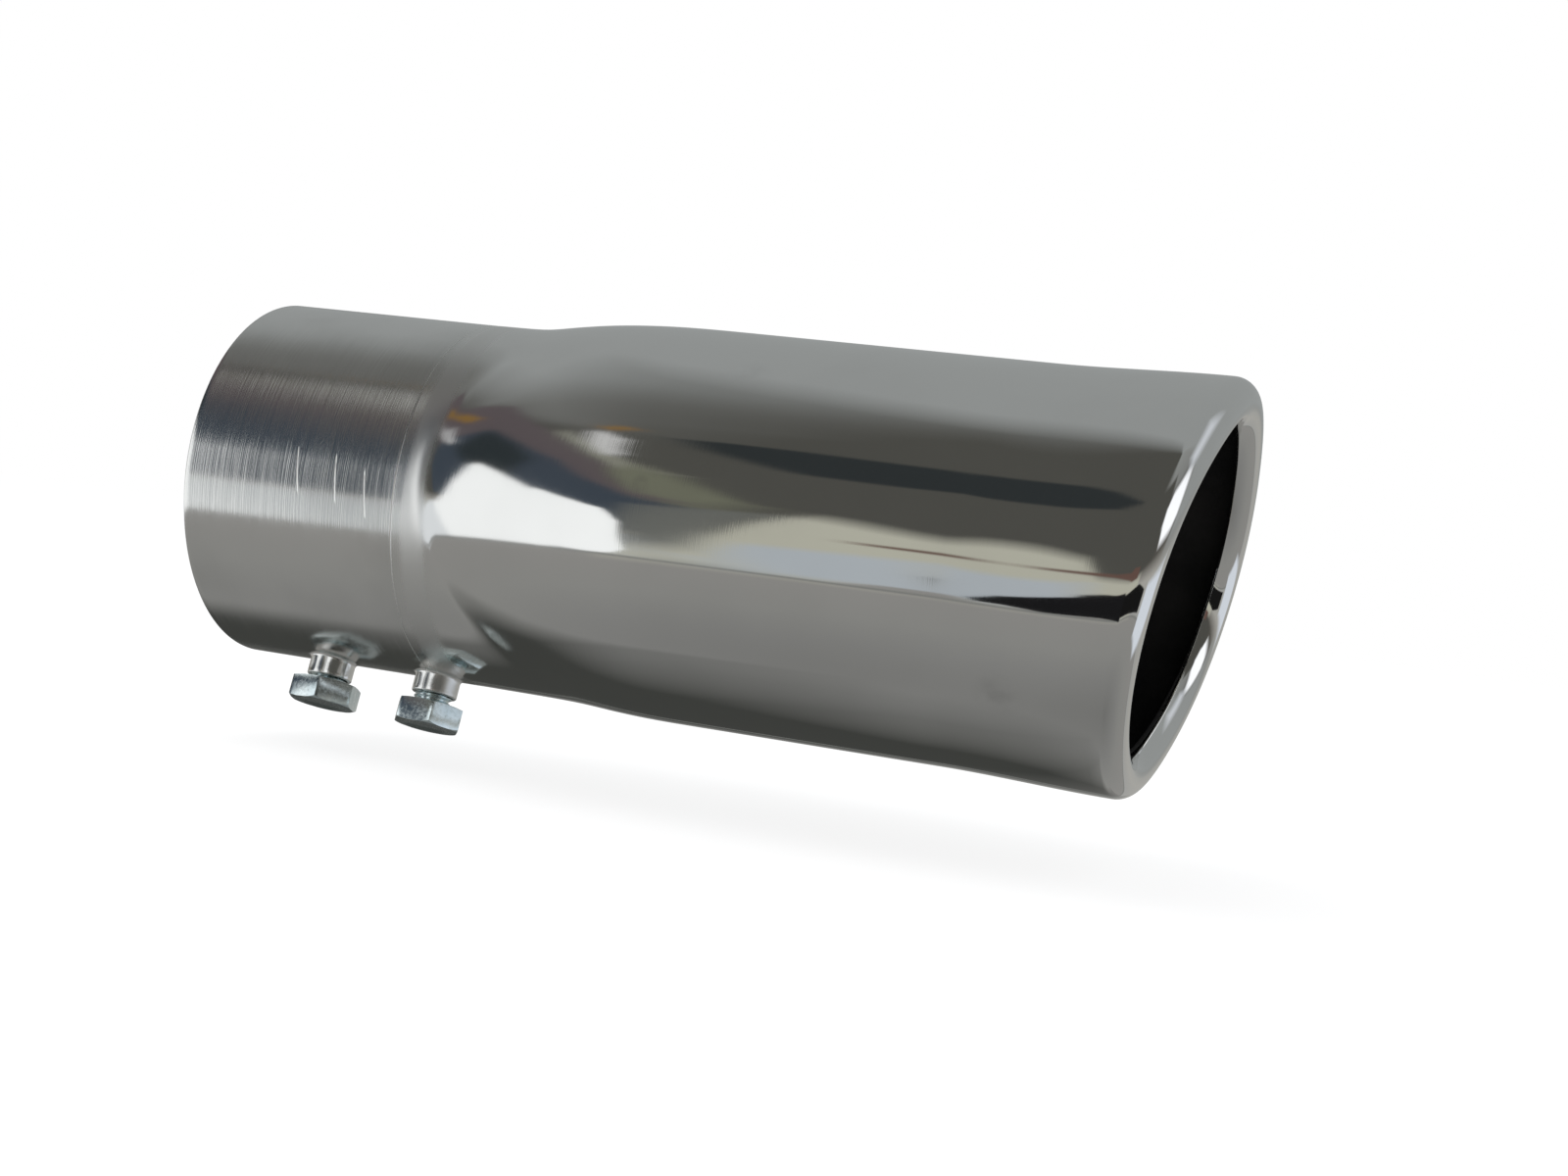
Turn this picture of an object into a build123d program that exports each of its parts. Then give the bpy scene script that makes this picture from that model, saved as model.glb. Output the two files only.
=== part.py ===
"""Bolt-on exhaust tip: a round socket swelled into an oval chamber, with a slanted, inward rolled mouth.

Millimetres. The origin is the centre of the inlet's rim, +X runs down the tube to the mouth and +Z is up.
"""
from build123d import *
from math import cos, pi, radians, sin, sqrt
import os

# Socket: the round tube that slides over the tailpipe
inlet_radius = 38.1          # outside of the tube
wall = 1.2                   # sheet thickness, the same from the inlet to the rolled lip
socket_length = 51.5         # straight length, at the height of the axis
socket_lean = -0.14          # how much longer it is for each millimetre downwards

# Chamber: the oval that the tube is swelled to, as distances from the socket's axis
chamber_top = 41.8
chamber_bottom = 39.2
chamber_side = 47.4
chamber_pinch = 2.1          # how far the four diagonals stay inside the plain oval
chamber_droop = 1.9          # how much the widest place hangs below the axis
chamber_start = 104.0        # where the swelling has reached its full size

# Swelling: the nose of the tool that pushes the tube out
nose_length = 52.0
nose_taper = 0.20            # share of its size that the nose has lost after that length
nose_curve = 2.7             # a higher power leaves the nose straighter and ends it more bluntly
blend = 0.8                  # softness of the bend where the nose starts to push

# Mouth: cut at a slant, flared a little and rolled inwards through half a turn
mouth_reach = 201.7          # front of the lip, at the height of the axis
mouth_slant = 0.15           # how much further the mouth reaches for each millimetre upwards
flare = 0.9
flare_length = 34.0
roll_radius = 4.4            # outside radius of the rolled lip

# Clamp bolts and the collars that are drawn out of the tube's wall for them
bolt_angle = 15.0            # degrees round from straight down, towards -Y
bolt_stations = {"front_clamp_bolt": 23.6, "rear_clamp_bolt": socket_length - 2.7}
bolt_gaps = {"front_clamp_bolt": 0.9, "rear_clamp_bolt": 2.0}      # from the collar to the head
bolt_turns = {"front_clamp_bolt": 15.0, "rear_clamp_bolt": 0.0}     # degrees, as each was left
collar_radius = 4.75
collar_height = 4.2
collar_root = 0.9            # radius between the tube and the collar
collar_edge = 0.4
shank_radius = 4.0
shank_length = 6.2
shank_clearance = 0.05
shank_point = 0.8            # chamfer at the end of the shank
head_flats = 13.0
head_height = 4.8
head_chamfer = 0.9

# Fineness of the swelled wall
points_round = 36
nose_bands = 10
flare_bands = 5
roll_bands = 8

wall_end = mouth_reach - roll_radius
flare_start = wall_end - flare_length
standing = (Align.CENTER, Align.CENTER, Align.MIN)
hanging = (Align.CENTER, Align.CENTER, Align.MAX)


def ease(share):
    """Rises smoothly from 0 to 1."""
    share = min(max(share, 0.0), 1.0)
    return share * share * (3 - 2 * share)


def oval_radius(angle):
    """Distance from the axis to the chamber's wall, at an angle from straight up."""
    up = cos(angle)
    plain = chamber_side + (chamber_top + chamber_bottom - 2 * chamber_side) / 2 * up ** 2
    lift = (chamber_top - chamber_bottom) / 2 * up
    return plain + lift - (4 * chamber_pinch * up ** 2 + chamber_droop * up) * (1 - up ** 2)


def wall_radius(angle, x):
    """Outside of the wall: the tube, or the nose of the tool where that reaches further."""
    nose = max(chamber_start - x, 0) / nose_length
    pushed = oval_radius(angle) * (1 - nose_taper * nose ** nose_curve)
    swelled = (inlet_radius + pushed + sqrt((inlet_radius - pushed) ** 2 + blend ** 2)) / 2
    return swelled + flare * ease((x - flare_start) / flare_length)


def ring(x, inset, lean, forward=0.0):
    """Closed curve on the wall at a station, moved inwards and forwards, in a plane that leans."""
    points = []
    for i in range(points_round):
        angle = 2 * pi * i / points_round
        reach = wall_radius(angle, x) - inset
        up = reach * cos(angle)
        points.append((x + forward + lean * up, -reach * sin(angle), up))
    return Wire([Edge.make_spline(points, periodic=True, parameters=list(range(points_round + 1)))])


def socket(radius):
    """Round wall of the socket, as its face, its rim and the leaning ellipse where the swelling starts."""
    across = Plane(origin=(0, 0, 0), x_dir=(0, 0, 1), z_dir=(1, 0, 0))
    end = Plane(origin=(socket_length, 0, 0), x_dir=(0, 1, 0), z_dir=(1, 0, -socket_lean))
    tube = split(across * Cylinder(radius, 2 * socket_length, align=standing), end, keep=Keep.BOTTOM)
    face = tube.faces().filter_by(GeomType.CYLINDER)[0]
    rim = face.edges().filter_by(GeomType.CIRCLE)[0]
    ellipse = face.edges().filter_by(GeomType.ELLIPSE)[0]
    return face, Wire([rim]), Wire([ellipse])


def skin(inset):
    """One side of the sheet, as its rim, faces and end: inset 0 gives the outside, the wall gives the inside."""
    face, rim, ellipse = socket(inlet_radius - inset)
    rings = [ellipse]
    for i in range(1, nose_bands + 1):
        share = i / nose_bands
        x = socket_length + (chamber_start - socket_length) * share
        rings.append(ring(x, inset, socket_lean * (1 - share)))
    for i in range(flare_bands + 1):
        rings.append(ring(flare_start + flare_length * i / flare_bands, inset, mouth_slant))
    bend = roll_radius - inset
    for i in range(1, roll_bands + 1):
        turn = pi * i / roll_bands
        lean = mouth_slant / (1 - roll_radius * (1 - cos(turn)) / chamber_top)
        rings.append(ring(wall_end, inset + bend * (1 - cos(turn)), lean, bend * sin(turn)))
    bands = Shell.make_loft(rings, ruled=True).faces()
    return rim, [face, *bands], rings[-1]


def sheet():
    """The swelled tube as one closed sheet, from the inlet's rim to the end of the rolled lip."""
    outer_rim, outer_faces, outer_end = skin(0)
    inner_rim, inner_faces, inner_end = skin(wall)
    ends = [Face(outer_rim, [inner_rim]), Face(inner_end, [outer_end])]
    return Solid(Shell([*outer_faces, *inner_faces, *ends]))


def bolt_plane(name, reach=0.0):
    """Plane across a bolt, at a distance from the tube's axis, facing away from the tube."""
    away = Vector(0, -sin(radians(bolt_angle)), -cos(radians(bolt_angle)))
    return Plane(Vector(bolt_stations[name], 0, 0) + away * reach, x_dir=(1, 0, 0), z_dir=away)


def tip_shell():
    """The swelled tube with its two drawn collars, rounded into the wall, and the holes for the bolts."""
    shell = sheet()
    for name in bolt_stations:
        collar = Cylinder(collar_radius, collar_height + wall / 2, align=standing)
        collar = chamfer(collar.edges().sort_by(Axis.Z)[-1], collar_edge)
        shell += bolt_plane(name, inlet_radius - wall / 2) * collar
    roots = shell.faces().filter_by(GeomType.CYLINDER).edges().filter_by(GeomType.BSPLINE)
    shell = fillet(roots, collar_root)
    for name in bolt_stations:
        hole = Cylinder(shank_radius + shank_clearance, 2 * inlet_radius, align=standing)
        shell -= bolt_plane(name) * hole
    return shell


def clamp_bolt(name):
    """Hex bolt, chamfered at the head's outer corners and at the end of its shank."""
    corner = head_flats / sqrt(3)
    seat = collar_height + bolt_gaps[name]
    head = extrude(RegularPolygon(corner, 6), head_height)
    turned = Cylinder(corner, head_height, align=standing)
    head &= chamfer(turned.edges().sort_by(Axis.Z)[-1], head_chamfer / 2, head_chamfer)
    shank = Cylinder(shank_radius, shank_length, align=hanging)
    shank = chamfer(shank.edges().sort_by(Axis.Z)[0], shank_point)
    return bolt_plane(name, inlet_radius + seat) * Rot(Z=bolt_turns[name]) * (head + shank)


os.makedirs("parts", exist_ok=True)
export_step(tip_shell(), "parts/tip_shell.step")
for bolt in bolt_stations:
    export_step(clamp_bolt(bolt), f"parts/{bolt}.step")
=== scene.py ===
# %% [markdown]
# # A chromed exhaust tip
# This is the trim piece that slides over the end of a car's tailpipe. It is one steel tube: a round
# socket, a swelling, an oval chamber and a mouth whose edge is rolled inwards. Two zinc plated bolts
# clamp it. The model that gives the sizes is already there, as a frame. Here it gets its looks.

# %% Load the frame
from math import atan2, cos, hypot, pi, radians, sin, sqrt

import bmesh
import bpy
from mathutils import Matrix, Vector


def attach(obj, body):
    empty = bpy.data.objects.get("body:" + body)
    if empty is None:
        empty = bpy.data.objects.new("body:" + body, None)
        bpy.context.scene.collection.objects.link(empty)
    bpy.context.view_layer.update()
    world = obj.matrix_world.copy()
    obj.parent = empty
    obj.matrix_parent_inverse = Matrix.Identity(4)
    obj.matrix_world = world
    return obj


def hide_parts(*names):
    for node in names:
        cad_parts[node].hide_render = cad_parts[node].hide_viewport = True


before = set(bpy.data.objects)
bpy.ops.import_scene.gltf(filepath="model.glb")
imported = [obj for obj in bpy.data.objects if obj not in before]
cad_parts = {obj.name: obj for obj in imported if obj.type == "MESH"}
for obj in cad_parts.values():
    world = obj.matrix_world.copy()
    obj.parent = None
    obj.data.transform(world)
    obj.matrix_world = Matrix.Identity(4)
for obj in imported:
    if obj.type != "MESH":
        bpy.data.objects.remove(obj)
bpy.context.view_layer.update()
MM = 0.001

# %% [markdown]
# ## The camera
# The photograph was taken from half a metre away, level with the tube, a little from the mouth's end,
# and the tube hangs down to the right in it, so the camera is rolled. Its place and its three
# directions were worked out from the outline of the tube, and they are simply set.

# %% Camera
CAMERA_PLACE = Vector((0.27043, -0.43127, -0.00402))
CAMERA_RIGHT = Vector((0.93438, 0.33043, 0.13327))
CAMERA_UP = Vector((-0.12911, -0.03461, 0.99103))
CAMERA_BACK = Vector((0.33207, -0.94320, 0.01032))

camera_data = bpy.data.cameras.new("camera")
camera_data.lens = 51.75
camera_data.sensor_width = 36.0
camera_data.clip_start = 0.01
camera = bpy.data.objects.new("camera", camera_data)
bpy.context.scene.collection.objects.link(camera)
turn = Matrix((CAMERA_RIGHT, CAMERA_UP, CAMERA_BACK)).transposed().to_4x4()
camera.matrix_world = Matrix.Translation(CAMERA_PLACE) @ turn
bpy.context.scene.camera = camera
bpy.context.scene.view_settings.view_transform = "Standard"
print("camera looks along", [round(-v, 3) for v in CAMERA_BACK])

# %% [markdown]
# ## Shader sums in plain Python
# A metal's finish is worked out with node maths. Nodes are hard to read when each is made by hand, so
# a small class wraps a node's socket: an ordinary sum on it adds the Math node that does that sum.


# %% Socket wrapper
class Wire:
    """A socket of a node tree: sums on it add Math nodes, and node() adds any other node."""

    def __init__(self, tree, socket=None):
        self.tree = tree
        self.socket = socket

    def node(self, kind, settings=None, inputs=None, out=0):
        """Adds a node of a kind: its settings first, then the values or links of its sockets."""
        made = self.tree.nodes.new(kind)
        for name, value in (settings or {}).items():
            if name == "stops":
                stops = made.color_ramp.elements
                while len(stops) < len(value):
                    stops.new(1.0)
                for stop, (place, colour) in zip(stops, value):
                    stop.position = place
                    stop.color = (*colour, 1.0)
            else:
                setattr(made, name, value)
        for name, value in (inputs or {}).items():
            if isinstance(value, Wire):
                self.tree.links.new(value.socket, made.inputs[name])
            else:
                made.inputs[name].default_value = value
        return Wire(self.tree, made.outputs[out]) if made.outputs else made

    def output(self, name):
        """Another output of the node that this socket belongs to."""
        return Wire(self.tree, self.socket.node.outputs[name])

    def maths(self, operation, *values):
        return self.node("ShaderNodeMath", {"operation": operation}, dict(enumerate(values)))

    def __add__(self, other):
        return self.maths("ADD", self, other)

    def __sub__(self, other):
        return self.maths("SUBTRACT", self, other)

    def __rsub__(self, other):
        return self.maths("SUBTRACT", other, self)

    def __mul__(self, other):
        return self.maths("MULTIPLY", self, other)

    def __truediv__(self, other):
        return self.maths("DIVIDE", self, other)

    def __rtruediv__(self, other):
        return self.maths("DIVIDE", other, self)

    __radd__ = __add__
    __rmul__ = __mul__

    def over(self, other):
        """The larger of the two."""
        return self.maths("MAXIMUM", self, other)

    def under(self, other):
        """The smaller of the two."""
        return self.maths("MINIMUM", self, other)

    def away(self):
        """How far it is from 0, on either side."""
        return self.maths("ABSOLUTE", self)

    def ramp(self, low, high, ease="SMOOTHSTEP"):
        """0 below low, 1 above high and eased between them; the other way round where low > high."""
        return self.node("ShaderNodeMapRange", {"interpolation_type": ease},
                         {"Value": self, "From Min": low, "From Max": high})

    def mix(self, first, second):
        """A colour between two colours, with this value as the share of the second."""
        def full(colour):
            return colour if isinstance(colour, Wire) else (*colour, 1.0)
        return self.node("ShaderNodeMix", {"data_type": "RGBA"},
                         {0: self, 6: full(first), 7: full(second)}, out=2)


print("Wire can do", [word for word in vars(Wire) if not word.startswith("_")])

# %% [markdown]
# ## The shell's shape
# The real tube is cut from a pipe, pushed out over a tool's nose until it is oval, and its edge is
# rolled in through half a turn. Chrome shows every flat in a surface, so the skin is made of fine
# rings: a circle is extruded again and again, and each new ring is placed by the same rules as the
# frame's model. Two skins, one for each side of the sheet, are joined at their ends.

# %% Sizes of the shell, in millimetres
INLET_RADIUS = 38.1
WALL = 1.2
SOCKET_LENGTH, SOCKET_LEAN = 51.5, -0.14
CHAMBER_TOP, CHAMBER_BOTTOM, CHAMBER_SIDE = 41.8, 39.2, 47.4
CHAMBER_PINCH, CHAMBER_DROOP = 2.1, 1.9
CHAMBER_START = 104.0
NOSE_LENGTH, NOSE_TAPER, NOSE_CURVE, BLEND = 52.0, 0.20, 2.7, 0.8
SETTLE = 6.0                 # how far past the socket the swelling takes to come in fully
MOUTH_REACH, MOUTH_SLANT = 201.7, 0.15
FLARE, FLARE_LENGTH, ROLL_RADIUS = 0.9, 34.0, 4.4
WALL_END = MOUTH_REACH - ROLL_RADIUS
FLARE_START = WALL_END - FLARE_LENGTH
SKIN_CLEARANCE = 0.02        # keeps the shell just inside the frame's model
print("flare starts at", round(FLARE_START, 1), "mm, wall ends at", round(WALL_END, 1), "mm")


# %% Where the wall runs
def ease(share):
    """Rises smoothly from 0 to 1."""
    share = min(max(share, 0.0), 1.0)
    return share * share * (3 - 2 * share)


def oval_radius(angle):
    """Distance from the axis to the chamber's wall, at an angle from straight up."""
    up = cos(angle)
    plain = CHAMBER_SIDE + (CHAMBER_TOP + CHAMBER_BOTTOM - 2 * CHAMBER_SIDE) / 2 * up ** 2
    lift = (CHAMBER_TOP - CHAMBER_BOTTOM) / 2 * up
    return plain + lift - (4 * CHAMBER_PINCH * up ** 2 + CHAMBER_DROOP * up) * (1 - up ** 2)


def wall_radius(angle, x):
    """Outside of the wall: the tube, or the nose of the tool where that reaches further."""
    if x <= SOCKET_LENGTH:
        return INLET_RADIUS
    nose = max(CHAMBER_START - x, 0) / NOSE_LENGTH
    pushed = oval_radius(angle) * (1 - NOSE_TAPER * nose ** NOSE_CURVE)
    swelled = (INLET_RADIUS + pushed + sqrt((INLET_RADIUS - pushed) ** 2 + BLEND ** 2)) / 2
    settled = (swelled - INLET_RADIUS) * ease((x - SOCKET_LENGTH) / SETTLE)
    return INLET_RADIUS + settled + FLARE * ease((x - FLARE_START) / FLARE_LENGTH)


print("wall at the side of the chamber:", round(wall_radius(pi / 2, CHAMBER_START), 1), "mm from the axis")

# %% Rings along the tube
COLUMNS = 192                # points in a ring
ROLL_RINGS = 28
# Rings in each stretch, and its start and end, as place on the axis and lean of the ring
STRETCHES = [(41, (0.0, 0.0), (SOCKET_LENGTH, SOCKET_LEAN)),
             (42, (SOCKET_LENGTH, SOCKET_LEAN), (CHAMBER_START, 0.0)),
             (12, (CHAMBER_START, 0.0), (FLARE_START, MOUTH_SLANT)),
             (16, (FLARE_START, MOUTH_SLANT), (WALL_END, MOUTH_SLANT))]


def stations(inset):
    """Every ring of one skin, as its place on the axis, lean, inset and shift along the tube."""
    rings = [(0.0, 0.0, inset, 0.0)]
    for count, (start, start_lean), (end, end_lean) in STRETCHES:
        for i in range(1, count + 1):
            share = i / count
            lean = start_lean + (end_lean - start_lean) * share
            rings.append((start + (end - start) * share, lean, inset, 0.0))
    bend = ROLL_RADIUS - inset
    for i in range(1, ROLL_RINGS + 1):
        turned = pi * i / ROLL_RINGS
        lean = MOUTH_SLANT / (1 - ROLL_RADIUS * (1 - cos(turned)) / CHAMBER_TOP)
        rings.append((WALL_END, lean, inset + bend * (1 - cos(turned)), bend * sin(turned)))
    return rings


print(len(stations(0.0)), "rings of", COLUMNS, "points in a skin")


# %% One ring after another
def ring_edges(verts):
    """The edges between the vertices of a ring."""
    inside = set(verts)
    return list({edge for vert in verts for edge in vert.link_edges if set(edge.verts) <= inside})


def place_ring(verts, station):
    """Moves a ring to its station. A vertex's place in the list gives its angle."""
    x, lean, inset, forward = station
    for i, vert in enumerate(verts):
        angle = 2 * pi * i / len(verts)
        reach = wall_radius(angle, x) - inset
        up = reach * cos(angle)
        vert.co = Vector((x + forward + lean * up, -reach * sin(angle), up)) * MM


def extrude_ring(mesh, verts, place, row=0):
    """Extrudes a closed ring of vertices, keeps their order, places the new ones and numbers the faces."""
    made = bmesh.ops.extrude_edge_only(mesh, edges=ring_edges(verts))["geom"]
    fresh = {part for part in made if isinstance(part, bmesh.types.BMVert)}
    following = []
    for vert in verts:
        following.append(next(e.other_vert(vert) for e in vert.link_edges if e.other_vert(vert) in fresh))
    place(following)
    if row:
        for face in made:
            if isinstance(face, bmesh.types.BMFace):
                face[mesh.faces.layers.int["row"]] = row
    return following


def meet(mesh, verts, others):
    """Joins two rings of as many vertices: one is extruded onto the other, to be merged with it later."""
    def onto(following):
        for vert, other in zip(following, others):
            vert.co = other.co
    extrude_ring(mesh, verts, onto)


# %% Both sides of the sheet
OUTSIDE, INSIDE = 1000, 2000             # where the numbers of each skin's rows start


def skin(mesh, inset, side):
    """One side of the sheet, with rows numbered from side. Gives back its ring at each end."""
    rings = stations(inset)
    first = bmesh.ops.create_circle(mesh, segments=COLUMNS, radius=1.0)["verts"]
    place_ring(first, rings[0])
    last = first
    for i, station in enumerate(rings[1:]):
        last = extrude_ring(mesh, last, lambda new: place_ring(new, station), side + i)
    return first, last


shell_mesh = bmesh.new()
shell_mesh.faces.layers.int.new("row")
outer_inlet, outer_end = skin(shell_mesh, SKIN_CLEARANCE, OUTSIDE)
inner_inlet, inner_end = skin(shell_mesh, WALL, INSIDE)
for vert in outer_inlet + inner_inlet:
    vert.co.x += SKIN_CLEARANCE * MM
print("faces in both skins:", len(shell_mesh.faces))

# %% [markdown]
# ## The collars for the clamp bolts
# Near the inlet, two short round collars stand out of the tube, and a bolt screws through each. They
# show the same chrome as the tube and have no seam at their feet, so they are part of the shell. A patch
# of the skin is taken out, the edge that is left is pulled to a circle, and that circle is extruded up
# the collar, over its edge and down its hole, to meet the hole in the inner skin.

# %% Places of the bolts and sizes of the collars
BOLT_ANGLE = radians(15.0)
# Place along the tube, gap between collar and head, and degrees by which the head is turned
BOLTS = {"front": {"x": 23.6, "gap": 0.9, "turn": 15.0}, "rear": {"x": 48.8, "gap": 2.0, "turn": 0.0}}
COLLAR_RADIUS, COLLAR_HEIGHT, COLLAR_ROOT, COLLAR_EDGE = 4.75, 4.2, 0.9, 0.4
HOLE_RADIUS, HOLE_BREAK = 4.05, 0.12
ROOT_RINGS, EDGE_RINGS = 5, 3
ROOT_RISE, EDGE_DROP = 1.0, 0.6          # the collar's side goes from half round above its root to level
HALF_ROUND = 0.45
PATCH = 5.05                 # half of the side of the patch that is taken out
AWAY = Vector((0.0, -sin(BOLT_ANGLE), -cos(BOLT_ANGLE)))
ALONG = Vector((1.0, 0.0, 0.0))
ACROSS = AWAY.cross(ALONG)
print("bolts point along", [round(v, 3) for v in AWAY])


# %% Points round a bolt
def round_bolt(vert, bolt):
    """Where a vertex lies round a bolt, as an angle from the tube's direction."""
    place = vert.co / MM - ALONG * bolt["x"]
    return atan2(place.dot(ACROSS), place.dot(ALONG))


def collar_ring(verts, bolt, radius, height, follow, tube=INLET_RADIUS):
    """Pulls vertices to a circle round the bolt. It follows the tube's roundness by a share, 0 to 1."""
    for vert in verts:
        angle = round_bolt(vert, bolt)
        side = radius * sin(angle)
        lift = tube + follow * (sqrt(tube ** 2 - side ** 2) - tube) + height
        vert.co = (ALONG * (bolt["x"] + radius * cos(angle)) + ACROSS * side + AWAY * lift) * MM


def collar_profile():
    """Rings up the collar, over its edge and down its hole, as radius, height and share of roundness."""
    rings = []
    for i in range(1, ROOT_RINGS + 1):
        turned = pi / 2 * i / ROOT_RINGS
        rings.append((COLLAR_RADIUS + COLLAR_ROOT * (1 - sin(turned)), COLLAR_ROOT * (1 - cos(turned)), 1.0))
    rings.append((COLLAR_RADIUS, COLLAR_ROOT + ROOT_RISE, HALF_ROUND))
    rings.append((COLLAR_RADIUS, COLLAR_HEIGHT - COLLAR_EDGE - EDGE_DROP, 0.0))
    for i in range(EDGE_RINGS + 1):
        turned = pi / 2 * i / EDGE_RINGS
        rings.append((COLLAR_RADIUS - COLLAR_EDGE * (1 - cos(turned)),
                      COLLAR_HEIGHT - COLLAR_EDGE * (1 - sin(turned)), 0.0))
    rings.append((HOLE_RADIUS + HOLE_BREAK, COLLAR_HEIGHT, 0.0))
    rings.append((HOLE_RADIUS, COLLAR_HEIGHT - HOLE_BREAK, 0.0))
    rings.append((HOLE_RADIUS, 0.0, 1.0))
    return rings


print(len(collar_profile()), "rings in a collar")


# %% The patch that makes room for a collar
def column(face):
    """Which column of the skin a face is in, counted round the tube."""
    centre = face.calc_center_median()
    return int(atan2(-centre.y, centre.z) / (2 * pi) * COLUMNS + COLUMNS) % COLUMNS


def cells_near(mesh, bolt):
    """Row and column of each face of the outer skin in the square round a bolt."""
    row, cells = mesh.faces.layers.int["row"], set()
    for face in mesh.faces:
        place = face.calc_center_median() / MM - ALONG * bolt["x"]
        angle = atan2(place.dot(ACROSS), place.dot(AWAY))
        near = abs(place.dot(ALONG)) < PATCH and abs(angle) * INLET_RADIUS < PATCH
        if near and OUTSIDE <= face[row] < INSIDE:
            cells.add((face[row] - OUTSIDE, column(face)))
    return cells


def open_patch(mesh, cells, side, bolt):
    """Takes those cells out of a skin and gives back the ring of vertices round the hole, in order."""
    row = mesh.faces.layers.int["row"]
    patch = [face for face in mesh.faces if (face[row] - side, column(face)) in cells]
    edges = {edge for face in patch for edge in face.edges}
    edges = [edge for edge in edges if any(face not in patch for face in edge.link_faces)]
    ring = {vert for edge in edges for vert in edge.verts}
    bmesh.ops.delete(mesh, geom=patch, context="FACES")
    return sorted(ring, key=lambda vert: round_bolt(vert, bolt))


# %% Collars
for name, bolt in BOLTS.items():
    cells = cells_near(shell_mesh, bolt)
    ring = open_patch(shell_mesh, cells, OUTSIDE, bolt)
    collar_ring(ring, bolt, COLLAR_RADIUS + COLLAR_ROOT, -SKIN_CLEARANCE, 1.0)
    for radius, height, follow in collar_profile():
        ring = extrude_ring(shell_mesh, ring, lambda new: collar_ring(new, bolt, radius, height, follow))
    inner_ring = open_patch(shell_mesh, cells, INSIDE, bolt)
    collar_ring(inner_ring, bolt, HOLE_RADIUS, 0.0, 1.0, INLET_RADIUS - WALL)
    meet(shell_mesh, ring, inner_ring)
    print(name, "collar:", len(cells), "cells out, rings of", len(ring), "and", len(inner_ring), "points")

# %% [markdown]
# ## Closing the sheet
# The sheet's cut edges show at the inlet and, deep inside the mouth, at the end of the roll. The two
# skins are joined there, and the corners are broken a little, as those of a cut tube are by polishing.

# %% Ends of the sheet
RIM_BEVEL = 0.22
RIM_TURN = radians(60.0)     # an edge that turns by more than this is a corner
INLET_REACH = 1.0            # how far from the inlet its corners are looked for
SHEET_MERGE = 0.0001         # how near to each other points count as one

meet(shell_mesh, outer_inlet, inner_inlet)
meet(shell_mesh, outer_end, inner_end)
bmesh.ops.remove_doubles(shell_mesh, verts=shell_mesh.verts, dist=SHEET_MERGE * MM)
bmesh.ops.recalc_face_normals(shell_mesh, faces=shell_mesh.faces)
rims = [e for e in shell_mesh.edges if e.calc_face_angle(0.0) > RIM_TURN
        and not INLET_REACH < e.verts[0].co.x / MM < CHAMBER_START]
bmesh.ops.bevel(shell_mesh, geom=rims, offset=RIM_BEVEL * MM, offset_type="OFFSET", affect="EDGES",
                segments=3, profile=0.5, material=-1)


def open_edges(mesh):
    """How many edges don't have a face on each side. A closed piece has none."""
    return sum(1 for edge in mesh.edges if len(edge.link_faces) != 2)


print("shell:", len(shell_mesh.faces), "faces,", open_edges(shell_mesh), "open edges, volume",
      round(shell_mesh.calc_volume() / MM ** 3), "mm3")


# %% A finished piece
def new_object(name, mesh, materials):
    """Turns a bmesh into an object of the scene, with its materials."""
    data = bpy.data.meshes.new(name)
    mesh.to_mesh(data)
    mesh.free()
    for material in materials:
        data.materials.append(material)
    made = bpy.data.objects.new(name, data)
    bpy.context.scene.collection.objects.link(made)
    print(name, "has", len(data.polygons), "faces")
    return made


def finish_piece(name, mesh, materials, node, body, sharp):
    """Makes the object, smooth but for the edges that turn by more than sharp, and ties it to the frame."""
    for face in mesh.faces:
        face.smooth = True
    for edge in mesh.edges:
        edge.smooth = len(edge.link_faces) == 2 and edge.calc_face_angle(0.0) < radians(sharp)
    piece = new_object(name, mesh, materials)
    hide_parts(node)
    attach(piece, body)
    print(name, "rides on", body)


# %% [markdown]
# ## Tools for the metals
# All three metals here are made alike. Each reads the piece's own coordinates, so that its pattern moves
# with the piece, and mixes noises of several sizes into its colour, its roughness and its bump.

# %% Material, noise and shader
def material_tree(name):
    """A new material with an empty tree, and a wire to add its nodes with."""
    material = bpy.data.materials.new(name)
    material.use_nodes = True
    material.node_tree.nodes.clear()
    return material, Wire(material.node_tree)


def noise(wire, place, scale, detail=2.0, stretch=(1.0, 1.0, 1.0)):
    """Noise from 0 to 1. A larger scale makes it finer, and stretch does so for each axis by itself."""
    spot = wire.node("ShaderNodeMapping", None, {"Vector": place, "Scale": stretch})
    return wire.node("ShaderNodeTexNoise", None, {"Vector": spot, "Scale": scale, "Detail": detail})


def close_metal(wire, tint, metallic, roughness, height, strength, depth):
    """Ends a metal's tree with its bump, as deep as depth in metres, its shader and the output."""
    bump = wire.node("ShaderNodeBump", None, {"Strength": strength, "Distance": depth, "Height": height})
    surface = wire.node("ShaderNodeBsdfPrincipled", None,
                        {"Base Color": tint, "Metallic": metallic, "Roughness": roughness, "Normal": bump})
    wire.node("ShaderNodeOutputMaterial", None, {0: surface})
    print("metal with", len(wire.tree.nodes), "nodes")


def strongest(masks):
    """The strongest of several masks, at each point."""
    most = masks[0]
    for mask in masks[1:]:
        most = most.over(mask)
    return most


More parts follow.
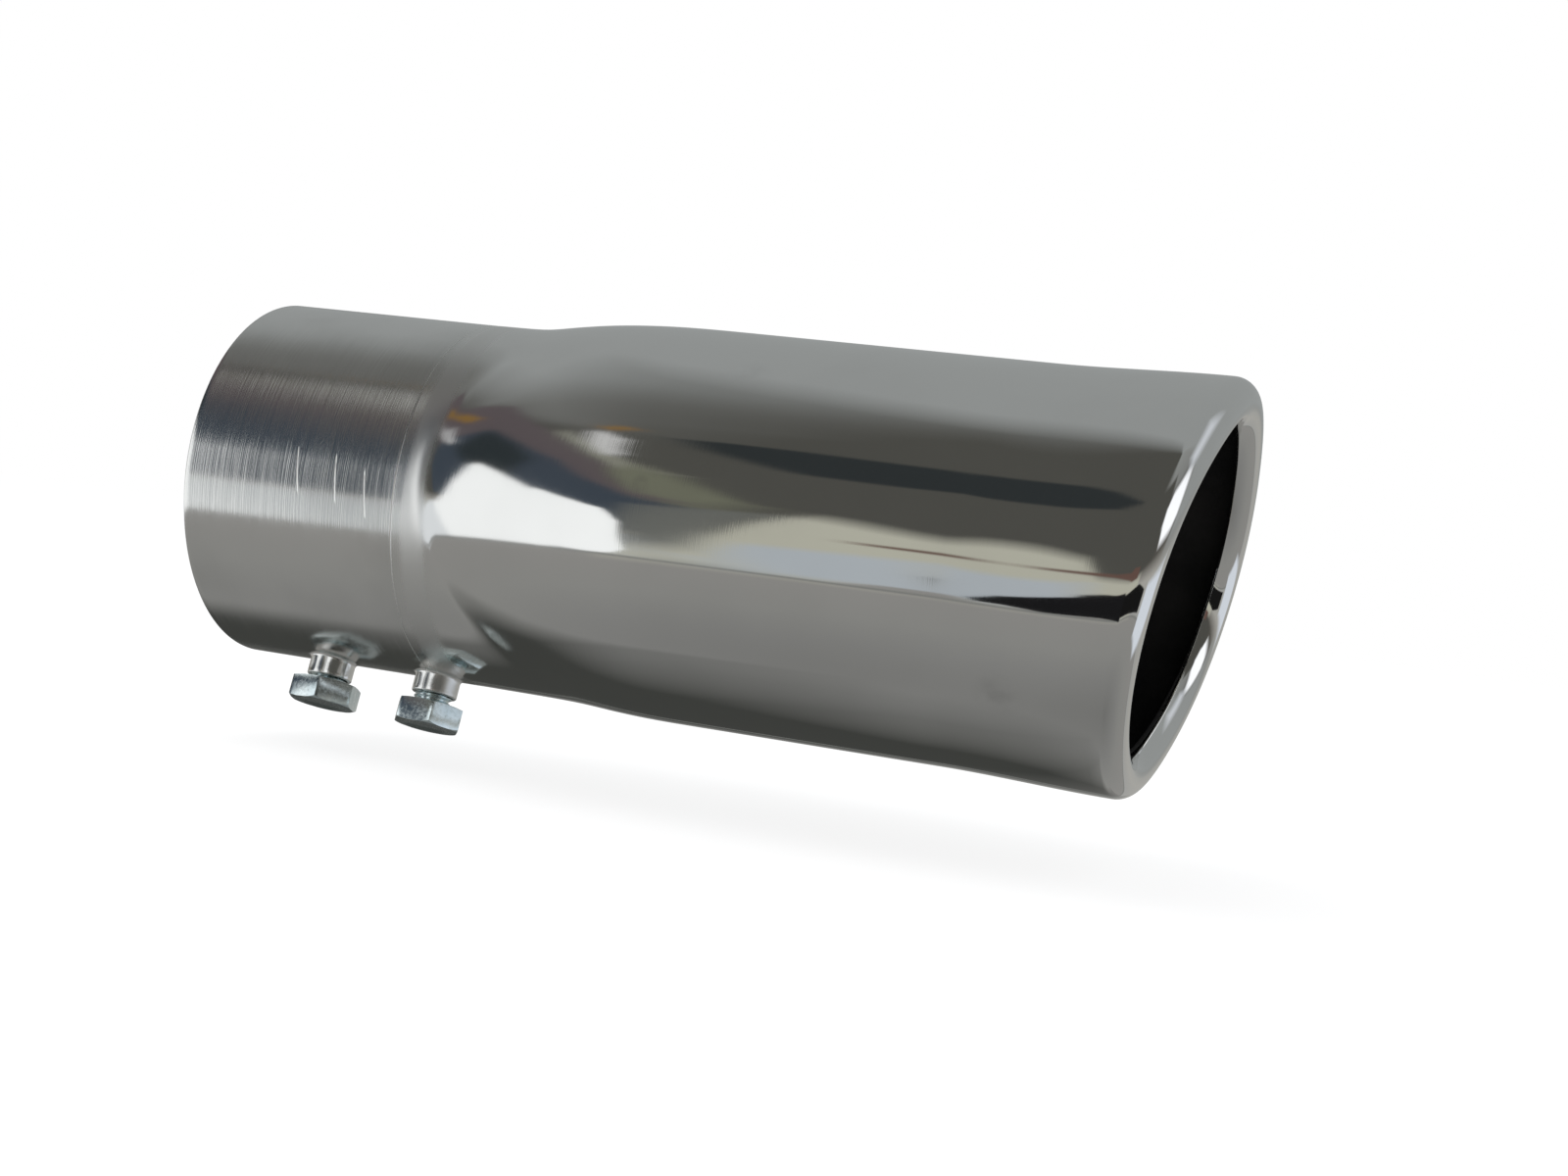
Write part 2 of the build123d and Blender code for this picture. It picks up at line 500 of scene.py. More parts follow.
# %% [markdown]
# ## Chrome
# Chrome is a mirror, so nearly all of its look is what it reflects. What it has of its own is the
# polishing. On the socket the wheel left fine lines round the tube, which smear reflections along it, up
# to a thin scribed line. Past the line the chrome is hazy where the tube starts to swell, then finely
# brushed, and from the chamber to the lip it is a clean mirror. So the stretches come first, each as a
# mask along the tube.

# %% Chrome: stretches of the tube
SCRIBE = 48.4                # where the scribed line is, in millimetres from the inlet's rim
SATIN_END = (SCRIBE + 3.0, SCRIBE - 0.5)                # where the satin is gone, and where it is still full
# Where each other stretch starts, is full, begins to fade and ends, in millimetres
HAZE = (SCRIBE - 1.0, SCRIBE + 1.0, 52.0, 61.0)
CREASE = (49.5, 51.5, 55.0, 57.5)
BRUSHED = (50.0, 64.0, 84.0, 112.0)


def zone(along, start, full, fading, end):
    """1 along a stretch of the tube, with a soft start and a soft end."""
    return along.ramp(end, fading) * along.ramp(start, full)


chrome, wire = material_tree("chrome")
place = wire.node("ShaderNodeTexCoord").output("Object")
parts = wire.node("ShaderNodeSeparateXYZ", None, {0: place})
x, y, z = (parts.output(axis) * (1 / MM) for axis in range(3))
wander = noise(wire, place, 60.0) - 0.5
satin = (x + wander * 1.2).ramp(*SATIN_END)
haze = zone(x, *HAZE)
crease = zone(x, *CREASE)
brushed = zone(x, *BRUSHED) * 0.5
print("satin up to", SCRIBE, "mm, brushed up to", BRUSHED[-1], "mm")

# %% [markdown]
# The polishing lines are noise that is fine along the tube and long round it. Three hairline scratches
# cross the socket's near side, and a few faint smudges lie on the swelling and the chamber. A scratch is
# a line between two points as seen from the side, and a smudge is a soft round spot that is broken up by
# noise.

# %% Chrome: lines, scratches and smudges
FINE, BROAD = (4200.0, 22.0, 22.0), (700.0, 14.0, 14.0)  # polishing lines, in waves a metre on x, y and z
LINE_EDGE, LINE_FULL = 0.16, 0.05        # how far from its middle the scribed line ends, and is full
SCRATCHES = [((25.3, 7.0), (26.9, -3.5), 0.17), ((34.2, 6.5), (35.6, -4.5), 0.17),
             ((41.2, 4.0), (42.6, -6.5), 0.15)]         # start and end as (x, z), and half of the width
SCRATCH_FADE = 2.0           # how long each scratch takes to come in and to fade
NEAR_SIDE = (-6.0, -14.0)    # y where the scratches start to show and show fully
SMUDGES = [((0.175, -0.0387, -0.0222), 6.0, 1.0), ((0.1154, -0.0267, 0.0321), 5.0, 0.5),
           ((0.1043, -0.0464, 0.0072), 2.5, 0.8)]       # place in metres, reach in millimetres, strength
SMUDGE_CORE = 0.2            # share of a smudge's reach that has its full strength


def scratch_mask(start, end, width):
    """A hairline scratch between two points seen from the side, in millimetres."""
    run = Vector((end[0] - start[0], end[1] - start[1]))
    length = run.length
    run /= length
    along = (x - start[0]) * run[0] + (z - start[1]) * run[1]
    off = ((x - start[0]) * run[1] - (z - start[1]) * run[0]).away()
    return off.ramp(width, 0.0) * along.ramp(0.0, SCRATCH_FADE) * along.ramp(length, length - SCRATCH_FADE)


def smudge_mask(spot, reach, strength):
    """A soft blotchy spot round a place on the chrome."""
    far = wire.node("ShaderNodeVectorMath", {"operation": "DISTANCE"}, {0: place, 1: spot}).output("Value")
    return far.ramp(reach * MM, SMUDGE_CORE * reach * MM) * blots * strength


fine_lines = noise(wire, place, 1.0, 3.0, FINE)
broad_lines = noise(wire, place, 1.0, 2.0, BROAD)
cloud = noise(wire, place, 34.0, 3.0)
blots = noise(wire, place, 260.0, 3.0).ramp(0.25, 0.70)
scribe = (x + wander * 0.5 - SCRIBE).away().ramp(LINE_EDGE, LINE_FULL)
scratches = strongest([scratch_mask(*scratch) for scratch in SCRATCHES]) * y.ramp(*NEAR_SIDE)
marks = scribe.over(scratches)
smudge = strongest([smudge_mask(*spot) for spot in SMUDGES])
print(len(SCRATCHES), "scratches and", len(SMUDGES), "smudges")

# %% [markdown]
# Now the masks are put together. Roughness says how blurred a reflection is: a little more on the satin,
# in the haze and at the crease, and most in the marks. The colour is a pale grey, hardly warm, that is
# duller in the clouds and under the smudges, and brighter in the marks. The bump has the lines, and the
# marks cut in.

# %% Chrome: roughness, colour and bump
MIRROR = 0.045               # roughness of the cleanest chrome
BRIGHT_CHROME, DULL_CHROME = (0.80, 0.80, 0.785), (0.69, 0.69, 0.675)
SMUDGE_GREY, BARE_METAL = (0.42, 0.42, 0.41), (0.92, 0.92, 0.90)
POLISH_DEPTH = 0.00004       # metres

roughness = MIRROR + satin * (0.06 + 0.08 * broad_lines) + brushed * 0.08 + haze * 0.10
roughness = roughness + crease * 0.20 + 0.03 * cloud.ramp(0.45, 0.75)
roughness = roughness.over(marks * 0.42) + smudge * 0.08
clouded = cloud.ramp(0.35, 0.75) * (0.35 + 0.65 * satin)
tint = clouded.mix(BRIGHT_CHROME, DULL_CHROME)
tint = (smudge * 0.24).mix(tint, SMUDGE_GREY)
tint = (marks * 0.7).mix(tint, BARE_METAL)
height = fine_lines * (satin * 0.5 + brushed * 0.25 + 0.03) + broad_lines * (satin * 0.25) - marks * 0.9
close_metal(wire, tint, 1.0, roughness, height, 1.0, POLISH_DEPTH)

# %% [markdown]
# ## The inner wall
# Inside, the tube is never polished. It is dull, rough steel with uneven stains, and it looks black in
# the mouth, where little light gets in. Its colour is kept near black for that: painted shade over the
# steel's own dullness. It is a second material of the shell, on the faces that lie on the sheet's inner
# side, up to where the roll starts.

# %% Inner wall material
# The near black of both colours is painted shade for the dark inside of the tube; the stains are the steel's
# own.
SHADE_BLACK_STEEL, STAINED_STEEL = (0.010, 0.010, 0.010), (0.030, 0.028, 0.026)

shaded_inner_steel, wire = material_tree("inner_steel_painted_shade")
place = wire.node("ShaderNodeTexCoord").output("Object")
stains = noise(wire, place, 45.0, 5.0)
grain = noise(wire, place, 1800.0, 2.0)
# Near black tint: painted shade inside the tube, broken up by the steel's own stains.
tint = stains.ramp(0.35, 0.7).mix(SHADE_BLACK_STEEL, STAINED_STEEL)
close_metal(wire, tint, 0.35, 0.5 + 0.25 * stains, grain, 0.5, 0.0001)

# %% Which faces are the inner wall
DEEP = 0.7                   # share of the sheet's thickness past which a face counts as inner wall
ROLL_MARGIN = 0.2            # millimetres before the end of the wall where the chrome starts
SHELL_SHARP = 35.0           # degrees

inner_faces = 0
for face in shell_mesh.faces:
    centre = face.calc_center_median() / MM
    reach = hypot(centre.y, centre.z)
    angle = atan2(-centre.y, centre.z)
    in_roll = centre.x > WALL_END + MOUTH_SLANT * centre.z - ROLL_MARGIN
    if not in_roll and reach < wall_radius(angle, min(centre.x, WALL_END)) - WALL * DEEP:
        face.material_index = 1
        inner_faces += 1
print(inner_faces, "faces of the inner wall")
# The inner wall gets the near black steel, which paints the shade inside the tube.
finish_piece("tip_shell_skin", shell_mesh, [chrome, shaded_inner_steel], "tip_shell", "tip",
             SHELL_SHARP)

# %% [markdown]
# ## The clamp bolts
# They are ordinary hex bolts. A hexagon whose sides are divided is extruded for the head. Its outer end
# is turned off at an angle on the real bolt, which leaves a curved edge on each flat: the nearer a point
# is to a corner, the lower it lies. The thread is a zigzag line spun once round while it climbs by one
# pitch, so that each turn meets the next.

# %% Sizes of the bolts, in millimetres
HEAD_FLATS, HEAD_HEIGHT, HEAD_CHAMFER = 13.0, 4.8, 0.9
CHAMFER_SLOPE = 0.5          # how much lower the chamfer lies for each millimetre outwards
CORNER = HEAD_FLATS / sqrt(3)
TURNED = CORNER - HEAD_CHAMFER
EDGE_BREAK = 0.12            # how far the head's two end faces stay inside its flats
DISH_EDGE, DISH_FLOOR, DISH_DEPTH = 0.62, 0.55, 0.12    # two shares of the turned radius, and millimetres
SIDE_CUTS = 9                # cuts in each side of the hexagon
SHANK_LENGTH, SHANK_TOP, SHANK_CHAMFER = 6.2, 0.35, 0.8
PITCH, THREAD_RADIUS, THREAD_DEPTH = 1.25, 3.96, 0.62
THREAD_ROOT = THREAD_RADIUS - THREAD_DEPTH
# One turn of the thread, as radius and share of the pitch
THREAD_PROFILE = [(THREAD_ROOT, 0.22), (THREAD_RADIUS, 0.55), (THREAD_RADIUS, 0.68), (THREAD_ROOT, 1.0)]
THREAD_STEPS = 48
THREAD_MERGE, CUT_MERGE = 0.002, 1e-5    # how near to each other points count as one
print("head", HEAD_FLATS, "mm across flats,", round(2 * CORNER, 2), "mm across corners")


# %% Head
def head(mesh):
    """Closed hexagon head that stands on z = 0, with a shallow dish in its outer end."""
    ring = bmesh.ops.create_circle(mesh, segments=6, radius=CORNER)["verts"]
    bmesh.ops.rotate(mesh, verts=ring, cent=(0, 0, 0), matrix=Matrix.Rotation(radians(30.0), 3, "Z"))
    bmesh.ops.subdivide_edges(mesh, edges=ring_edges(ring), cuts=SIDE_CUTS)
    base = sorted(mesh.verts, key=lambda v: atan2(v.co.y, v.co.x))
    feet = [v.co.copy() for v in base]

    def shape(verts, rule):
        """Moves a ring in or out and up, by a rule on how far each point is from the middle."""
        for vert, foot in zip(verts, feet):
            far = foot.xy.length
            radius, high = rule(far)
            vert.co = Vector((foot.x * radius / far, foot.y * radius / far, high))

    def chamfer(far):
        return CHAMFER_SLOPE * max(far - TURNED, 0.0)

    rules = [lambda far: (far, chamfer(far) / 2),
             lambda far: (far, HEAD_HEIGHT - chamfer(far)),
             lambda far: (min(far - EDGE_BREAK, TURNED), HEAD_HEIGHT),
             lambda far: (TURNED * DISH_EDGE, HEAD_HEIGHT),
             lambda far: (TURNED * DISH_FLOOR, HEAD_HEIGHT - DISH_DEPTH)]
    shape(base, lambda far: (min(far, TURNED) - EDGE_BREAK, 0.0))
    ring = base
    for rule in rules:
        ring = extrude_ring(mesh, ring, lambda new: shape(new, rule))
    for loop in (base, ring):
        bmesh.ops.contextual_create(mesh, geom=ring_edges(loop))


# %% Thread
def thread(mesh):
    """Threaded shank that hangs below z = 0 and reaches a little way into the head."""
    turns = int(SHANK_LENGTH / PITCH) + 3
    start = PITCH * (1 - turns)
    profile = [mesh.verts.new((THREAD_ROOT, 0.0, start))]
    for i in range(turns):
        low = start + PITCH * i
        for radius, rise in THREAD_PROFILE:
            profile.append(mesh.verts.new((radius, 0.0, low + PITCH * rise)))
    edges = [mesh.edges.new(pair) for pair in zip(profile, profile[1:])]
    bmesh.ops.spin(mesh, geom=profile + edges, cent=(0, 0, 0), axis=(0, 0, 1), angle=2 * pi,
                   dvec=(0, 0, PITCH / THREAD_STEPS), steps=THREAD_STEPS, use_merge=False)
    bmesh.ops.remove_doubles(mesh, verts=mesh.verts, dist=THREAD_MERGE)
    for level, keep_up in ((SHANK_TOP, False), (-SHANK_LENGTH, True)):
        everything = list(mesh.verts) + list(mesh.edges) + list(mesh.faces)
        bmesh.ops.bisect_plane(mesh, geom=everything, dist=CUT_MERGE, plane_co=(0, 0, level),
                               plane_no=(0, 0, 1), clear_inner=keep_up, clear_outer=not keep_up)
    for vert in mesh.verts:
        limit = THREAD_RADIUS - max(SHANK_CHAMFER - (vert.co.z + SHANK_LENGTH), 0.0)
        far = vert.co.xy.length
        if far > limit:
            vert.co.x *= limit / far
            vert.co.y *= limit / far
    bmesh.ops.holes_fill(mesh, edges=[e for e in mesh.edges if e.is_boundary], sides=0)


# %% [markdown]
# The bolts are zinc plated. Zinc is a softer mirror than chrome: bluish, with a fine bright grain and
# dull patches. The grain goes into the roughness and the bump, and a slow cloud of the plating's blue
# goes into the colour.

# %% Zinc plating
BLUE_ZINC, PALE_ZINC = (0.66, 0.76, 0.79), (0.80, 0.88, 0.89)

zinc, wire = material_tree("zinc_plating")
place = wire.node("ShaderNodeTexCoord").output("Object")
grain = noise(wire, place, 1500.0, 4.0)
dimples = noise(wire, place, 520.0, 2.0)
cloud = noise(wire, place, 210.0, 3.0)
tint = cloud.ramp(0.35, 0.65).mix(BLUE_ZINC, PALE_ZINC)
roughness = 0.12 + 0.14 * grain.ramp(0.35, 0.75) + 0.06 * cloud
close_metal(wire, tint, 1.0, roughness, grain * 0.4 + dimples, 0.35, 0.00004)

# %% [markdown]
# The head and the shank are made upright at the origin. Then they are turned and moved together until
# the bolt stands in its collar, as far out and turned as far as the photograph shows.

# %% Bolts
CORNER_TURN = radians(20.0)  # an edge of the head that turns by more than this is rounded
CORNER_BEVEL = 0.1
BOLT_SHARP = 25.0            # degrees


def clamp_bolt(bolt):
    """One bolt as a closed mesh, in its place."""
    mesh = bmesh.new()
    head(mesh)
    corners = [e for e in mesh.edges if len(e.link_faces) == 2 and e.calc_face_angle(0.0) > CORNER_TURN]
    bmesh.ops.bevel(mesh, geom=corners, offset=CORNER_BEVEL, offset_type="OFFSET", affect="EDGES",
                    segments=2, profile=0.5, material=-1, clamp_overlap=True)
    bmesh.ops.recalc_face_normals(mesh, faces=mesh.faces)
    shank = bmesh.new()
    thread(shank)
    bmesh.ops.recalc_face_normals(shank, faces=shank.faces)
    shank_data = bpy.data.meshes.new("shank")
    shank.to_mesh(shank_data)
    shank.free()
    mesh.from_mesh(shank_data)
    bpy.data.meshes.remove(shank_data)
    upright = Matrix((ALONG, ACROSS, AWAY)).transposed()
    seat = ALONG * bolt["x"] + AWAY * (INLET_RADIUS + COLLAR_HEIGHT + bolt["gap"])
    bmesh.ops.rotate(mesh, verts=mesh.verts, cent=(0, 0, 0),
                     matrix=upright @ Matrix.Rotation(radians(bolt["turn"]), 3, "Z"))
    bmesh.ops.translate(mesh, verts=mesh.verts, vec=seat)
    bmesh.ops.scale(mesh, verts=mesh.verts, vec=(MM, MM, MM))
    return mesh


for name, bolt in BOLTS.items():
    bolt_mesh = clamp_bolt(bolt)
    print(name, "bolt:", open_edges(bolt_mesh), "open edges")
    finish_piece(f"{name}_bolt_zinc", bolt_mesh, [zinc], f"{name}_clamp_bolt", f"{name}_bolt",
                 BOLT_SHARP)

# %% [markdown]
# ## Floor
# The floor is a plain white sheet a little below the bolts' heads, so that they can be screwed right out
# above it. It is white by itself, through Light Path, and not by strong light, and it still takes the
# tip's soft shadow. From below it is clear, so that a view from there shows the bolts.

# %% White floor
FLOOR_LEVEL = -0.0560        # metres, as are the next two
FLOOR_MIDDLE = 0.1
FLOOR_HALF = 6.0             # half of its side
FLOOR_WHITE = 1.12           # strength of its own white
OWN_WHITE = 0.75             # share of that white in what the camera sees

floor_paint, wire = material_tree("white_floor_paint")
seen = wire.node("ShaderNodeLightPath").output("Is Camera Ray")
lit = wire.node("ShaderNodeBsdfDiffuse", None, {"Color": (0.9, 0.9, 0.9, 1.0)})
white = wire.node("ShaderNodeEmission", None, {"Color": (1.0, 1.0, 1.0, 1.0), "Strength": FLOOR_WHITE})
from_above = wire.node("ShaderNodeMixShader", None, {0: seen * OWN_WHITE, 1: lit, 2: white})
clear = wire.node("ShaderNodeBsdfTransparent")
below = wire.node("ShaderNodeNewGeometry").output("Backfacing")
both_sides = wire.node("ShaderNodeMixShader", None, {0: below, 1: from_above, 2: clear})
wire.node("ShaderNodeOutputMaterial", None, {0: both_sides})

floor_mesh = bmesh.new()
bmesh.ops.create_grid(floor_mesh, x_segments=1, y_segments=1, size=FLOOR_HALF)
bmesh.ops.translate(floor_mesh, verts=floor_mesh.verts, vec=(FLOOR_MIDDLE, 0.0, FLOOR_LEVEL))
floor = new_object("white_floor", floor_mesh, [floor_paint])
floor.visible_glossy = False
print("floor at", FLOOR_LEVEL)

# %% [markdown]
# ## What the chrome reflects
# A mirror needs a room. The photograph's chrome shows a light grey ceiling, dark walls, a window low on
# the left with darker bands above it, and a grey table whose front edge draws the line along the side.
# A room of real walls would shade the tip and stand in the camera's way. So nearly all of it is painted
# in the world, by direction, where only reflections see it. First comes a plain run of tones from
# straight down to straight up, as (elevation in degrees, colour).

# %% Tones from the floor to the ceiling
TONES = [(-90, (0.20, 0.20, 0.195)), (-62, (0.25, 0.25, 0.245)), (-45, (0.285, 0.285, 0.275)),
         (-24, (0.30, 0.295, 0.285)), (-21, (0.40, 0.40, 0.39)), (-3, (0.44, 0.43, 0.40)),
         (2, (0.28, 0.27, 0.25)), (9, (0.10, 0.095, 0.085)), (20, (0.085, 0.082, 0.072)),
         (42, (0.085, 0.082, 0.075)), (56, (0.25, 0.255, 0.25)), (90, (0.30, 0.31, 0.305))]
print(len(TONES), "tones")

# %% [markdown]
# Then come the things that stand in the room. Each is a card: a name, its outline, the softness of its
# edge and its colour. The outline goes from left to right, as (azimuth, lower edge, upper edge) in
# degrees. Azimuth 0 is straight out from the tube's near side, and the left is the inlet's side. A card
# covers those before it.

# %% Cards in the room: walls, ceiling and what hangs there
DARK_WALL = (0.083, 0.082, 0.074)
WINDOW_WHITE = (1.08, 1.10, 1.11)
BEHIND = (0.33, 0.345, 0.345)
CARDS = [
    ("wall_behind", [(-200, -2, 95), (-150, 0, 95), (-128, 30, 95), (-100, 50, 95)], 24.0, BEHIND),
    ("wall_right", [(104, 2, 95), (150, -2, 95), (200, -2, 95)], 14.0, BEHIND),
    ("under_behind", [(-174, -28, -22), (-162, -52, -12), (-146, -60, -8), (-126, -62, -24),
                      (-108, -62, -44)], 22.0, (0.055, 0.057, 0.053)),
    ("dark_wall", [(-92, -2, 46), (-70, -2, 51), (-56, -2, 56), (-40, -2, 58), (0, 6, 66),
                   (60, 10, 66)], 5.0, DARK_WALL),
    ("dark_ceiling", [(-118, 66, 120), (-100, 62, 120), (-82, 58, 120), (-62, 53, 120),
                      (-46, 44, 120), (20, 40, 120)], 34.0, DARK_WALL),
    ("beam", [(-47, 58.5, 60), (-44, 57, 61.5), (-36, 52.5, 63), (-30, 48.5, 62), (-26, 49, 60),
              (-22, 52, 58)], 1.6, (0.030, 0.035, 0.037)),
    ("pale_stripe", [(-58, 49.5, 52), (-45, 45.5, 48.5), (-35, 39.5, 43.5), (-29, 32.5, 37.5)],
     1.8, (0.26, 0.26, 0.22)),
    ("olive_edge", [(-32, 35, 41), (-28, 28, 36), (-25, 20, 30), (-22.6, 15, 24)],
     2.5, (0.17, 0.175, 0.13)),
    ("mauve_blind", [(-94, 38, 44), (-88, 34, 50), (-75, 20, 50), (-62, 20, 49.5), (-47, 16, 45.5),
                     (-34, 8, 38), (-28, 4, 27), (-24, 0, 20)], 1.6, (0.110, 0.092, 0.098)),
    ("navy_blind", [(-79, 16, 30), (-75, 8, 38), (-72, 2, 41), (-57, -4, 39.5), (-42, -4, 35.5),
                    (-28, -4, 23.5), (-23.5, -4, 17)], 1.6, (0.050, 0.064, 0.084)),
    ("teal_shade", [(-73, 28, 40), (-66, 22, 40), (-56, 20, 38), (-48, 18, 33)],
     4.0, (0.026, 0.034, 0.038)),
]
print(len(CARDS), "cards")

# %% Cards in the room: window, table and lamps
CARDS += [
    ("left_light", [(-97, -24, -7), (-72, -22, -4), (-60, -22, -4)], 2.0, (0.82, 0.85, 0.88)),
    ("dim_light", [(-38.5, -22, -4), (-34, -22, -4.5), (-23.4, -22, -7)], 2.0, (0.52, 0.545, 0.56)),
    ("window", [(-70, -22, -5), (-66, -22, 2), (-63, -22, 14), (-62, -22, 21), (-59.5, -22, 23.5),
                (-51, -22, 21), (-44, -22, 17.5), (-36.3, -22, 12)], 1.3, WINDOW_WHITE),
    ("curtain", [(-24.4, -22.2, 14), (-22.4, -22.2, 18), (-21, -22.2, 20)], 2.0, (0.15, 0.155, 0.145)),
    ("cream_wall", [(-27, -23, -23), (-22.4, -22, -10), (-21.2, -22, 2), (-20.6, -22, 22),
                    (-19.3, -22, 21), (-17, -22, 18), (-15.8, -22, 17), (-14, -22, 6), (30, -22, 4)],
     7.0, (0.50, 0.495, 0.42)),
    ("blue_wall", [(-22.4, -22, -17), (-20.6, -21, -3), (-15, -21, 1)], 4.0, (0.46, 0.50, 0.54)),
    ("table_right", [(-19.5, -23.5, -21.5), (-18, -23.5, -19.5), (-10, -23.5, -19.5)],
     1.0, (0.30, 0.295, 0.285)),
    ("table_edge", [(-200, -23.2, -22), (200, -23.2, -22)], 0.9, (0.22, 0.225, 0.215)),
    ("dark_gap", [(-15.9, -20.6, -10), (-15, -20.6, -7), (-13, -20.6, -5), (37, -20.6, -2),
                  (66, -20, -8)], 0.6, (0.010, 0.010, 0.010)),
    ("rust_rail", [(-17.8, 6.8, 8.2), (-12.5, 7, 9.5), (0, 4, 14), (20, 4, 12)],
     1.2, (0.14, 0.085, 0.070)),
    ("amber_lamp_right", [(-57.5, 57, 60), (-53.5, 56.5, 59.5)], 1.4, (0.26, 0.15, 0.045)),
    ("glint_right", [(-54, 54, 56), (-45, 48, 54), (-37, 43, 46)], 1.5, (0.60, 0.60, 0.60)),
    ("amber_lamp_left", [(-91, 36.5, 40), (-84, 38, 42)], 2.0, (0.24, 0.14, 0.04)),
    ("glint_left", [(-84, 31, 35), (-80, 28.5, 32), (-76, 27.5, 30)], 1.5, (0.45, 0.45, 0.46)),
    ("right_window", [(58, 30, 40), (68, 14, 48), (98, 12, 46), (104, 16, 40)], 7.0, (1.25, 1.27, 1.32)),
    ("right_window_low", [(76, -30, -6), (106, -30, -4), (134, -11, -3)], 4.0, (0.75, 0.80, 0.88)),
    ("skylight", [(98, 42, 58), (134, 40, 58)], 12.0, (0.66, 0.69, 0.74)),
]
print(len(CARDS), "cards with these")

# %% [markdown]
# Two more cards are real ones. They stand close to the tip, a hand's width in front of it, because what
# is so close looks different from each part of the tube. The white one is the window's lower half as the
# swelling's right flank shows it, and the black one draws the dark line beside the lip. Only reflections
# see them. Each outline goes from left to right, as (along the tube, lower edge, upper edge), and all is
# in millimetres.

# %% Near cards
NEAR_CARD_Y = -140.0
NEAR_CARDS = {
    "near_white_card": (WINDOW_WHITE, [(5, -56, 38), (13, -53, 35.5), (18, -52, 33), (24, -50, 30),
                                       (36, -49.5, 25), (44, -49, 21), (52, -47, 18), (56, -44, 10),
                                       (59.5, -38, 1)]),
    "near_black_card": ((0.012, 0.012, 0.013), [(138, -43, -39), (143, -43, -31), (152, -46, -25),
                                                (158, -45, -21), (170, -43, -14), (177, -44, -11),
                                                (186, -47, -5)]),
}


def near_card(name, colour, outline):
    """Flat card whose edges follow an outline, seen by reflections only."""
    mesh = bmesh.new()
    bmesh.ops.create_grid(mesh, x_segments=len(outline) - 1, y_segments=1, size=1.0)
    ends = sorted(mesh.verts, key=lambda v: (round(v.co.x, 4), v.co.y))
    for (along, low, high), lower, upper in zip(outline, ends[::2], ends[1::2]):
        lower.co = Vector((along, NEAR_CARD_Y, low)) * MM
        upper.co = Vector((along, NEAR_CARD_Y, high)) * MM
    paint, wire = material_tree(f"{name}_paint")
    glow = wire.node("ShaderNodeEmission", None, {"Color": (*colour, 1.0), "Strength": 1.0})
    wire.node("ShaderNodeOutputMaterial", None, {0: glow})
    card = new_object(name, mesh, [paint])
    card.visible_camera = card.visible_diffuse = card.visible_shadow = False
    card.visible_transmission = card.visible_volume_scatter = False


for name, (colour, outline) in NEAR_CARDS.items():
    near_card(name, colour, outline)

# %% [markdown]
# A card in the world is a mask on two numbers, the azimuth and the elevation of a direction. Each of its
# long edges is a line through points, made of one straight ramp for each stretch. A direction is inside
# the card where it is over the lower edge, under the upper edge and between the two ends.


# %% Sums for a card
def edge_height(az, points):
    """Height of the line through points, at an azimuth."""
    height = az * 0.0 + points[0][1]
    for (start, low), (end, high) in zip(points, points[1:]):
        if low != high:
            height = height + az.ramp(start, end, "LINEAR") * (high - low)
    return height


def inside(az, el, outline, soft):
    """1 inside a card and 0 outside it, with a soft edge."""
    def share(depth):
        return depth.ramp(-soft / 2, soft / 2, "LINEAR")
    over_low = share(el - edge_height(az, [(a, low) for a, low, _ in outline]))
    under_high = share(edge_height(az, [(a, high) for a, _, high in outline]) - el)
    return over_low.under(under_high).under(share(az - outline[0][0])).under(share(outline[-1][0] - az))


